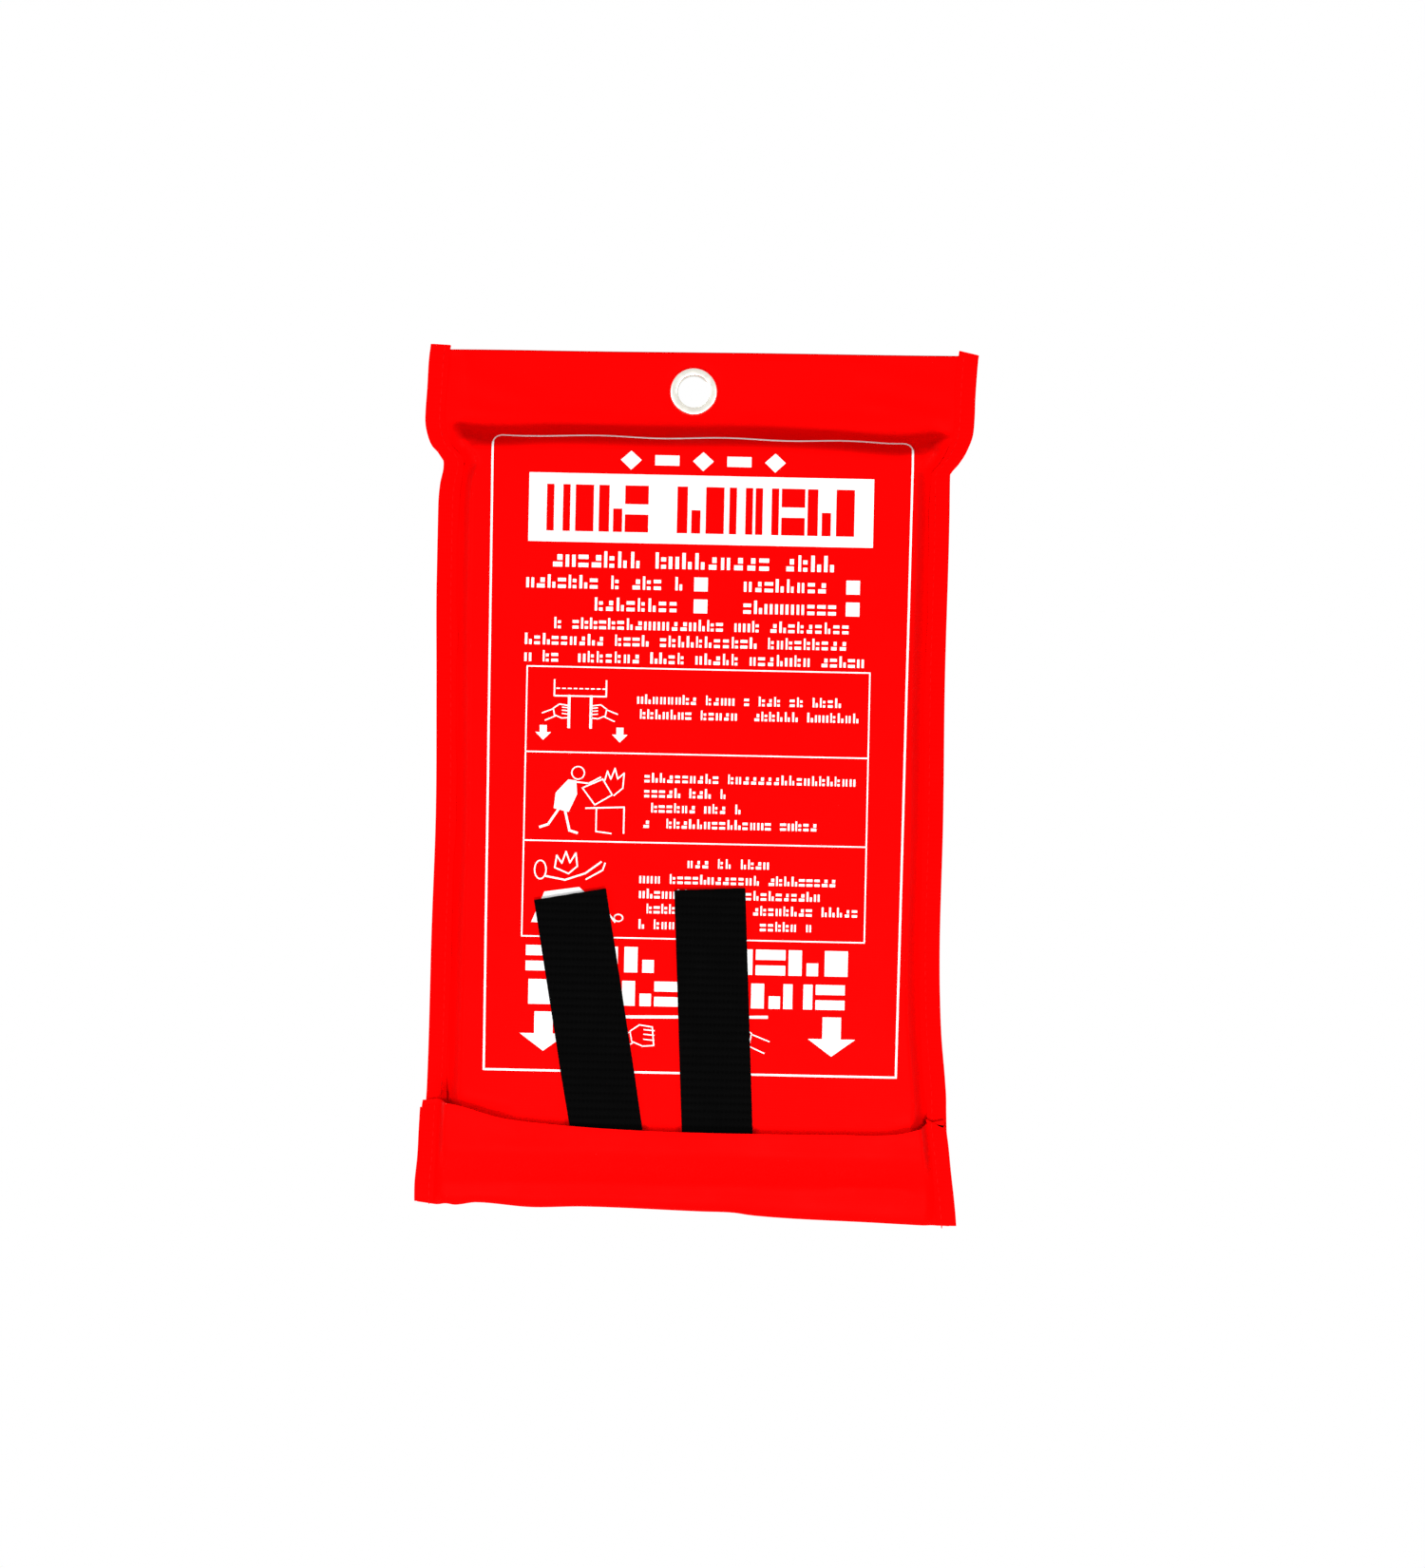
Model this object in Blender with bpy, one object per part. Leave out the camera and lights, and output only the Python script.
"""Fire blanket in a soft wall pouch that hangs from one eyelet.

Frame: the origin is the eyelet's centre on the wall plane, +Z is up, the printed front faces -Y and +X is to
the viewer's right. Units are metres. A depth is a distance in front of the wall, so y = -depth.
"""

import math

import bmesh
import bpy
from mathutils import Matrix, Vector

MM = 0.001

# Thicknesses of the materials, and the gap kept between touching pieces
GAP = 0.3 * MM
CLOTH = 0.7 * MM
BINDING = 0.5 * MM
WEBBING = 1.3 * MM
WASHER = 0.5 * MM
BARREL_ROLL = 0.4 * MM

# Stack at the header, counted forwards from the wall to each layer's middle
BACK_REAR = BARREL_ROLL + GAP + WASHER + GAP
BACK_MID = BACK_REAR + CLOTH / 2
BACK_EASE = 0.1 * MM
HEADER_MID = BACK_MID + CLOTH + GAP
HEADER_FACE = HEADER_MID + CLOTH / 2

# Folded blanket: one square sheet, pleated six times across and then folded in four
RUNS = 4
RUN_THICK = 3.1 * MM
RUN_PITCH = 3.4 * MM
PACK_REAR = BACK_REAR + CLOTH + GAP
PACK_FACE = PACK_REAR + RUN_PITCH * (RUNS - 1) + RUN_THICK
PACK_HALF_REAR = 79.6 * MM
PACK_SIDE_TAPER = 0.31
PACK_TOPS = (-27 * MM, -29 * MM, -33 * MM)
PACK_BOTTOMS = (-273 * MM, -267 * MM)

# Stack over the pack
TAPE_SEWN_MID = PACK_FACE + GAP + WEBBING / 2
BODY_MID = TAPE_SEWN_MID + WEBBING / 2 + GAP + CLOTH / 2
TAPE_STEP = CLOTH / 2 + GAP + WEBBING / 2
TAPE_TAIL_MID = BODY_MID + TAPE_STEP
FLAP_MID = TAPE_TAIL_MID + TAPE_STEP

# Outline of the pouch; half widths are taken to the outside of the binding
POUCH_X = 2 * MM
HEADER_TOP = 13.8 * MM
BINDING_TOP = 16 * MM
BODY_HALF_WIDTHS = (
    (BINDING_TOP, 96 * MM),
    (-9 * MM, 96.5 * MM),
    (-13 * MM, 95.4 * MM),
    (-18 * MM, 92.6 * MM),
    (-23 * MM, 89.9 * MM),
    (-27 * MM, 89 * MM),
    (-200 * MM, 89.3 * MM),
    (-245 * MM, 91 * MM),
    (-281 * MM, 91.5 * MM),
)
BODY_BREAKS = tuple(z for z, _ in BODY_HALF_WIDTHS[1:-1])
FLAP_HALF_WIDTHS = ((-250 * MM, 92.3 * MM), (-281 * MM, 94.8 * MM))
BINDING_WIDTH = 7 * MM
CLOTH_INSET = BINDING + GAP
SIDE_RISE = 8 * MM

# Heights of the bulge over the pack, and of the bottom opening
NECK_TOP = -10 * MM
NECK_END = -30 * MM
BULGE_END = -264 * MM
HEM = -279 * MM
HEM_MID = 6.3 * MM
LIP = -257 * MM
FOLD_LINE = -281 * MM
FOLD_BOTTOM = -288 * MM
FLAP_BOTTOM_MID = 9.6 * MM
FLAP_EDGE_MID = HEADER_FACE + GAP + BINDING + GAP + BINDING + GAP + CLOTH / 2

# Pull tapes: (side, centre at the lip, lean of the centre line, height of the top edge, slope of the top edge)
TAPE_WIDTH = 24.6 * MM
TAPE_SEWN_TOP = -232 * MM
TAPES = (
    ("left", -25.1 * MM, -0.1756, -176.7 * MM, 0.18),
    ("right", 13.6 * MM, -0.0512, -174 * MM, 0.05),
)
TAPE_PIVOT = LIP + 0.5 * MM
TAPE_PIVOT_DEPTH = FLAP_MID + CLOTH / 2

# Eyelet
EYELET_BORE = 5.5 * MM
BARREL_WALL = 0.4 * MM
FLANGE_RADIUS = 8.35 * MM
FLANGE_RISE = 1.1 * MM
ROLL_RADIUS = 7 * MM
CLOTH_HOLE = EYELET_BORE + BARREL_WALL + GAP
EYELET_STEPS = 40


def clear_scene():
    for obj in list(bpy.data.objects):
        bpy.data.objects.remove(obj, do_unlink=True)


def material(name, colour, roughness, metallic=0.0):
    made = bpy.data.materials.new(name)
    made.use_nodes = True
    shader = made.node_tree.nodes["Principled BSDF"]
    shader.inputs["Base Color"].default_value = (*colour, 1.0)
    shader.inputs["Roughness"].default_value = roughness
    shader.inputs["Metallic"].default_value = metallic
    return made


def ease(t):
    """Smooth rise from 0 to 1 as t goes from 0 to 1."""
    return (1 - math.cos(math.pi * min(max(t, 0.0), 1.0))) / 2


def width_at(stations, z):
    """Half width at height z on straight lines between the stations, which run from the top down."""
    if z >= stations[0][0]:
        return stations[0][1]
    for (z0, w0), (z1, w1) in zip(stations, stations[1:]):
        if z >= z1:
            return w0 + (w1 - w0) * (z0 - z) / (z0 - z1)
    return stations[-1][1]


def side_share(x, half_width):
    """Share of the bulge at x: 0 under the binding, 1 past the sloping side."""
    inward = half_width - abs(x - POUCH_X) - BINDING_WIDTH
    return ease(inward / SIDE_RISE)


def front_middle_depth(z):
    """Depth of the front cloth's middle on the flat part of the pouch."""
    if z > BULGE_END:
        return HEADER_MID + (BODY_MID - HEADER_MID) * ease((NECK_TOP - z) / (NECK_TOP - NECK_END))
    return BODY_MID + (HEM_MID - BODY_MID) * ease((BULGE_END - z) / (BULGE_END - HEM))


def front_depth(x, z):
    rise = front_middle_depth(z) - HEADER_MID
    return HEADER_MID + rise * side_share(x, width_at(BODY_HALF_WIDTHS, z))


def flap_depth(x, z):
    """Depth of the flap's middle: over the pack at the lip, drawn in towards the wall at the bottom turn."""
    start = BULGE_END - GAP
    middle = FLAP_MID + (FLAP_BOTTOM_MID - FLAP_MID) * ease((start - z) / (start - FOLD_LINE))
    return FLAP_EDGE_MID + (middle - FLAP_EDGE_MID) * side_share(x, width_at(FLAP_HALF_WIDTHS, z))


def columns(half_width):
    """x of the grid's columns: the seam, the sloping side in steps, then the flat middle."""
    edge = half_width - CLOTH_INSET
    seam = half_width - BINDING_WIDTH
    slope_steps = 5
    right = [edge, seam]
    right += [seam - SIDE_RISE * step / slope_steps for step in range(1, slope_steps + 1)]
    right += [half_width * 0.42]
    return [POUCH_X - x for x in right] + [POUCH_X + x for x in reversed(right)]


def spread(start, end, count):
    return [start + (end - start) * step / count for step in range(count + 1)]


def grid_object(name, rows, thickness, finish, smooth=True):
    """A sheet through the rows of points, thickened evenly to both sides."""
    mesh = bpy.data.meshes.new(name)
    bm = bmesh.new()
    grid = [[bm.verts.new(point) for point in row] for row in rows]
    for upper, lower in zip(grid, grid[1:]):
        for i in range(len(upper) - 1):
            bm.faces.new((upper[i], lower[i], lower[i + 1], upper[i + 1]))
    bm.to_mesh(mesh)
    bm.free()
    obj = add_object(name, mesh, finish, smooth)
    solidify = obj.modifiers.new("thickness", "SOLIDIFY")
    solidify.thickness = thickness
    solidify.offset = 0
    solidify.use_even_offset = True
    return obj


def add_object(name, mesh, finish, smooth):
    mesh.materials.append(finish)
    if smooth:
        mesh.shade_smooth()
        mesh.set_sharp_from_angle(angle=math.radians(40))
    obj = bpy.data.objects.new(name, mesh)
    bpy.context.scene.collection.objects.link(obj)
    return obj


def empty(name, location, parent=None):
    """An empty on a joint's axis; location is in world coordinates."""
    pivot = bpy.data.objects.new(name, None)
    pivot.empty_display_size = 10 * MM
    bpy.context.scene.collection.objects.link(pivot)
    pivot.location = location
    if parent:
        pivot.parent = parent
        pivot.location = Vector(location) - Vector(parent["world"])
    pivot["world"] = location
    return pivot


def carry(obj, pivot):
    """Parents a piece to the empty on its joint's axis, keeping it where it is."""
    obj.data.transform(Matrix.Translation(-Vector(pivot["world"])))
    obj.parent = pivot


def hole_cutter():
    """Cuts the eyelet's hole through the header."""
    mesh = bpy.data.meshes.new("eyelet_hole_cutter")
    bm = bmesh.new()
    bmesh.ops.create_cone(
        bm, cap_ends=True, segments=EYELET_STEPS, radius1=CLOTH_HOLE, radius2=CLOTH_HOLE, depth=30 * MM
    )
    bmesh.ops.rotate(bm, verts=bm.verts, matrix=Matrix.Rotation(math.radians(90), 3, "X"))
    bm.to_mesh(mesh)
    bm.free()
    cutter = bpy.data.objects.new("eyelet_hole_cutter", mesh)
    cutter.hide_render = True
    cutter.display_type = "WIRE"
    bpy.context.scene.collection.objects.link(cutter)
    return cutter


def cut(obj, cutter):
    boolean = obj.modifiers.new("eyelet_hole", "BOOLEAN")
    boolean.operation = "DIFFERENCE"
    boolean.solver = "EXACT"
    boolean.object = cutter


def back_panel(finish, cutter):
    """The rear cloth: flat, and eased forwards a little between the bindings, below the neck."""
    heights = [HEADER_TOP - CLOTH - GAP, *BODY_BREAKS, FOLD_LINE + GAP]
    rows = []
    for z in heights:
        half = width_at(BODY_HALF_WIDTHS, z)
        edge = half - CLOTH_INSET
        inner = half - BINDING_WIDTH - 1 * MM
        eased = BACK_MID + (BACK_EASE if z <= BODY_BREAKS[-3] else 0)
        section = ((-edge, BACK_MID), (-inner, eased), (inner, eased), (edge, BACK_MID))
        rows.append([(POUCH_X + x, -depth, z) for x, depth in section])
    obj = grid_object("back_panel", rows, CLOTH, finish, smooth=False)
    cut(obj, cutter)


def front_panel(finish, cutter):
    """The printed cloth: turned over the header's top edge, flat header, then the bulge over the pack."""
    turn = (HEADER_MID - BACK_MID) / 2
    turn_top = HEADER_TOP - CLOTH / 2 - turn
    header_columns = columns(width_at(BODY_HALF_WIDTHS, turn_top))
    rows = []
    for angle in spread(0, math.pi, 6)[:-1]:
        depth = BACK_MID + turn - turn * math.cos(angle)
        rows.append([(x, -depth, turn_top + turn * math.sin(angle)) for x in header_columns])
    heights = {turn_top, *BODY_BREAKS, *spread(NECK_TOP, NECK_END, 5), BULGE_END}
    rows += [front_row(z) for z in sorted(heights, reverse=True)]
    obj = grid_object("front_panel", rows, CLOTH, finish)
    cut(obj, cutter)


def front_row(z):
    return [(x, -front_depth(x, z), z) for x in columns(width_at(BODY_HALF_WIDTHS, z))]


def front_hem(finish):
    """The lower end of the printed cloth, drawn in below the pack; the blanket pushes it open on its way out."""
    rows = [front_row(z) for z in spread(BULGE_END - GAP, HEM, 8)]
    grid_object("front_hem", rows, CLOTH, finish)


def binding(name, side, stations, edge_mid, stack, heights, finish):
    """A strip folded round the cloth's edge: a U in section, swept down the outline.

    edge_mid is the depth of the wrapped cloths' middle, and stack is their thickness with the gaps inside.
    """
    front = edge_mid + stack / 2 + GAP
    rear = edge_mid - stack / 2 - GAP
    rows = []
    for z in heights:
        half = width_at(stations, z)
        outer = half - BINDING / 2
        inner = half - BINDING_WIDTH
        line = ((inner, front), (outer, front), (outer, rear), (inner, rear))
        steps = []
        for inward, depth in line:
            toward = 1 if depth > edge_mid else -1
            steps.append((POUCH_X + side * inward, -(depth + toward * BINDING / 2), z))
        rows.append(steps if side > 0 else list(reversed(steps)))
    return grid_object(name, rows, BINDING, finish, smooth=False)


def bottom_fold(finish):
    """The turn of cloth that closes the bottom: half an ellipse in section, deeper in the middle."""
    across = columns(width_at(FLAP_HALF_WIDTHS, FOLD_LINE))
    rows = []
    for angle in spread(0, math.pi, 12):
        row = []
        for x in across:
            front = flap_depth(x, FOLD_LINE)
            centre = (front + BACK_MID) / 2
            half_depth = (front - BACK_MID) / 2
            drop = (FOLD_LINE - FOLD_BOTTOM - CLOTH / 2) * math.sin(angle)
            row.append((x, -(centre + half_depth * math.cos(angle)), FOLD_LINE - drop))
        rows.append(row)
    return grid_object("bottom_fold", rows, CLOTH, finish)


def flap_panel(finish):
    rows = []
    for z in [LIP, BULGE_END] + spread(BULGE_END, FOLD_LINE + GAP, 8)[1:]:
        across = columns(width_at(FLAP_HALF_WIDTHS, z))
        rows.append([(x, -flap_depth(x, z), z) for x in across])
    return grid_object("flap_panel", rows, CLOTH, finish)


def pack_path():
    """(depth, height) of the folded pack's middle line, from the rear run's top to the front run's top."""
    depths = [PACK_REAR + RUN_THICK / 2 + RUN_PITCH * run for run in range(RUNS)]
    radius = RUN_PITCH / 2
    reach = radius + RUN_THICK / 2
    turns = (
        (depths[0] + radius, PACK_BOTTOMS[0] + reach, -1),
        (depths[1] + radius, PACK_TOPS[1] - reach, 1),
        (depths[2] + radius, PACK_BOTTOMS[1] + reach, -1),
    )
    path = [(depths[0], PACK_TOPS[0])]
    for centre, height, up in turns:
        for angle in spread(0, math.pi, 6):
            path.append((centre - radius * math.cos(angle), height + up * radius * math.sin(angle)))
    path.append((depths[3], PACK_TOPS[2]))
    return path


def fire_blanket(finish):
    rows = []
    for depth, z in pack_path():
        half = PACK_HALF_REAR - PACK_SIDE_TAPER * (depth - PACK_REAR + RUN_THICK / 2)
        rows.append([(POUCH_X + half * share, -depth, z) for share in (-1, -0.4, 0.4, 1)])
    return grid_object("fire_blanket", rows, RUN_THICK, finish)


def offset_line(heights, distance):
    """(depth, height) of a line that keeps its distance in front of the front cloth's middle."""
    line = []
    nudge = 0.1 * MM
    for z in heights:
        slope = (front_middle_depth(z + nudge) - front_middle_depth(z - nudge)) / (2 * nudge)
        length = math.hypot(1, slope)
        line.append((front_middle_depth(z) + distance / length, z - distance * slope / length))
    return line


def tape_root(side, lip_x, lean, finish):
    """From its sewn end on the pack, down inside the front cloth, round the hem and up to the lip."""
    inside = offset_line([-262 * MM] + spread(BULGE_END, HEM, 8), -TAPE_STEP)
    outside = offset_line(spread(HEM, BULGE_END, 8), TAPE_STEP)
    path = [(TAPE_SEWN_MID, TAPE_SEWN_TOP)] + inside
    for angle in spread(0, math.pi, 8)[1:-1]:
        path.append((HEM_MID - TAPE_STEP * math.cos(angle), HEM - TAPE_STEP * math.sin(angle)))
    turned = len(path)
    path += outside + [(TAPE_TAIL_MID, LIP)]
    rows = []
    for index, (depth, z) in enumerate(path):
        centre = lip_x + lean * ((z if index >= turned else HEM) - LIP)
        rows.append([(centre - TAPE_WIDTH / 2, -depth, z), (centre + TAPE_WIDTH / 2, -depth, z)])
    return grid_object(f"{side}_tape_root", rows, WEBBING, finish)


def tape_tail(side, lip_x, lean, top, slope, finish):
    """The free end: lies up the front cloth, leaning, its cut end square to its length."""
    low = TAPE_PIVOT + GAP
    rows = []
    for share in spread(0, 1, 4):
        row = []
        for across in (-TAPE_WIDTH / 2, TAPE_WIDTH / 2):
            height = low + (top + slope * across - low) * share
            row.append((lip_x + lean * (height - LIP) + across, -TAPE_TAIL_MID, height))
        rows.append(row)
    return grid_object(f"{side}_tape_tail", rows, WEBBING, finish, smooth=False)


def turned_object(name, profile, finish):
    """Turns a closed (radius, depth) outline about the eyelet's axis."""
    mesh = bpy.data.meshes.new(name)
    bm = bmesh.new()
    verts = [bm.verts.new((radius, -depth, 0)) for radius, depth in profile]
    edges = [bm.edges.new((verts[i - 1], verts[i])) for i in range(len(verts))]
    bmesh.ops.spin(
        bm, geom=verts + edges, cent=(0, 0, 0), axis=(0, 1, 0), angle=2 * math.pi, steps=EYELET_STEPS,
        use_merge=True, use_duplicate=False,
    )
    bmesh.ops.remove_doubles(bm, verts=bm.verts, dist=0.001 * MM)
    bmesh.ops.recalc_face_normals(bm, faces=bm.faces)
    bm.to_mesh(mesh)
    bm.free()
    return add_object(name, mesh, finish, smooth=True)


def eyelet_front(finish):
    """Domed flange on the printed side, barrel through the header, and the rolled end behind the washer."""
    seat = HEADER_FACE + GAP
    dome = []
    for angle in spread(0, math.pi, 6):
        middle = (EYELET_BORE + FLANGE_RADIUS) / 2
        half = (FLANGE_RADIUS - EYELET_BORE) / 2
        dome.append((middle - half * math.cos(angle), seat + FLANGE_RISE * math.sin(angle)))
    barrel = EYELET_BORE + BARREL_WALL
    rear = [(barrel, seat), (barrel, BARREL_ROLL), (ROLL_RADIUS, BARREL_ROLL), (ROLL_RADIUS, BARREL_ROLL / 2)]
    rear += [(ROLL_RADIUS - BARREL_ROLL / 2, 0), (EYELET_BORE + BARREL_ROLL / 2, 0), (EYELET_BORE, BARREL_ROLL)]
    turned_object("eyelet_front", dome + rear, finish)


def eyelet_washer(finish):
    rear = BARREL_ROLL + GAP
    front = rear + WASHER
    profile = [(CLOTH_HOLE, rear), (FLANGE_RADIUS - WASHER, rear), (FLANGE_RADIUS, rear + WASHER / 2)]
    profile += [(FLANGE_RADIUS, front), (CLOTH_HOLE, front)]
    turned_object("eyelet_washer", profile, finish)


def main():
    clear_scene()
    red_cloth = material("red_coated_cloth", (0.80, 0.01, 0.01), 0.55)
    red_binding = material("red_binding_tape", (0.70, 0.01, 0.01), 0.70)
    nickel = material("nickel_plate", (0.78, 0.77, 0.74), 0.25, 1.0)
    glass_cloth = material("woven_glass_cloth", (0.82, 0.80, 0.74), 0.75)
    black_web = material("black_webbing", (0.015, 0.015, 0.015), 0.80)

    cutter = hole_cutter()
    back_panel(red_cloth, cutter)
    front_panel(red_cloth, cutter)
    front_hem(red_cloth)
    header_mid = (BACK_MID + HEADER_MID) / 2
    header_stack = HEADER_MID - BACK_MID + CLOTH
    heights = [BINDING_TOP, *BODY_BREAKS, FOLD_LINE + GAP]
    for side, sign in (("left", -1), ("right", 1)):
        binding(f"{side}_edge_binding", sign, BODY_HALF_WIDTHS, header_mid, header_stack, heights, red_binding)
    eyelet_front(nickel)
    eyelet_washer(nickel)

    fold_pivot = empty("fold_pivot", (POUCH_X, -BACK_MID, FOLD_LINE))
    carry(bottom_fold(red_cloth), fold_pivot)
    flap_pivot = empty("flap_pivot", (POUCH_X, -FLAP_BOTTOM_MID, FOLD_LINE), fold_pivot)
    carry(flap_panel(red_cloth), flap_pivot)
    for side, sign in (("left", -1), ("right", 1)):
        heights = spread(LIP + 1 * MM, FOLD_LINE + GAP, 4)
        strip = binding(
            f"{side}_flap_binding", sign, FLAP_HALF_WIDTHS, FLAP_EDGE_MID, CLOTH, heights, red_binding
        )
        carry(strip, flap_pivot)

    blanket_pivot = empty("blanket_slide", (POUCH_X, -PACK_REAR, PACK_TOPS[0]))
    carry(fire_blanket(glass_cloth), blanket_pivot)
    for side, lip_x, lean, top, slope in TAPES:
        carry(tape_root(side, lip_x, lean, black_web), blanket_pivot)
        tail_pivot = empty(f"{side}_tape_pivot", (lip_x, -TAPE_PIVOT_DEPTH, TAPE_PIVOT), blanket_pivot)
        carry(tape_tail(side, lip_x, lean, top, slope, black_web), tail_pivot)


if __name__ == "__main__":
    main()
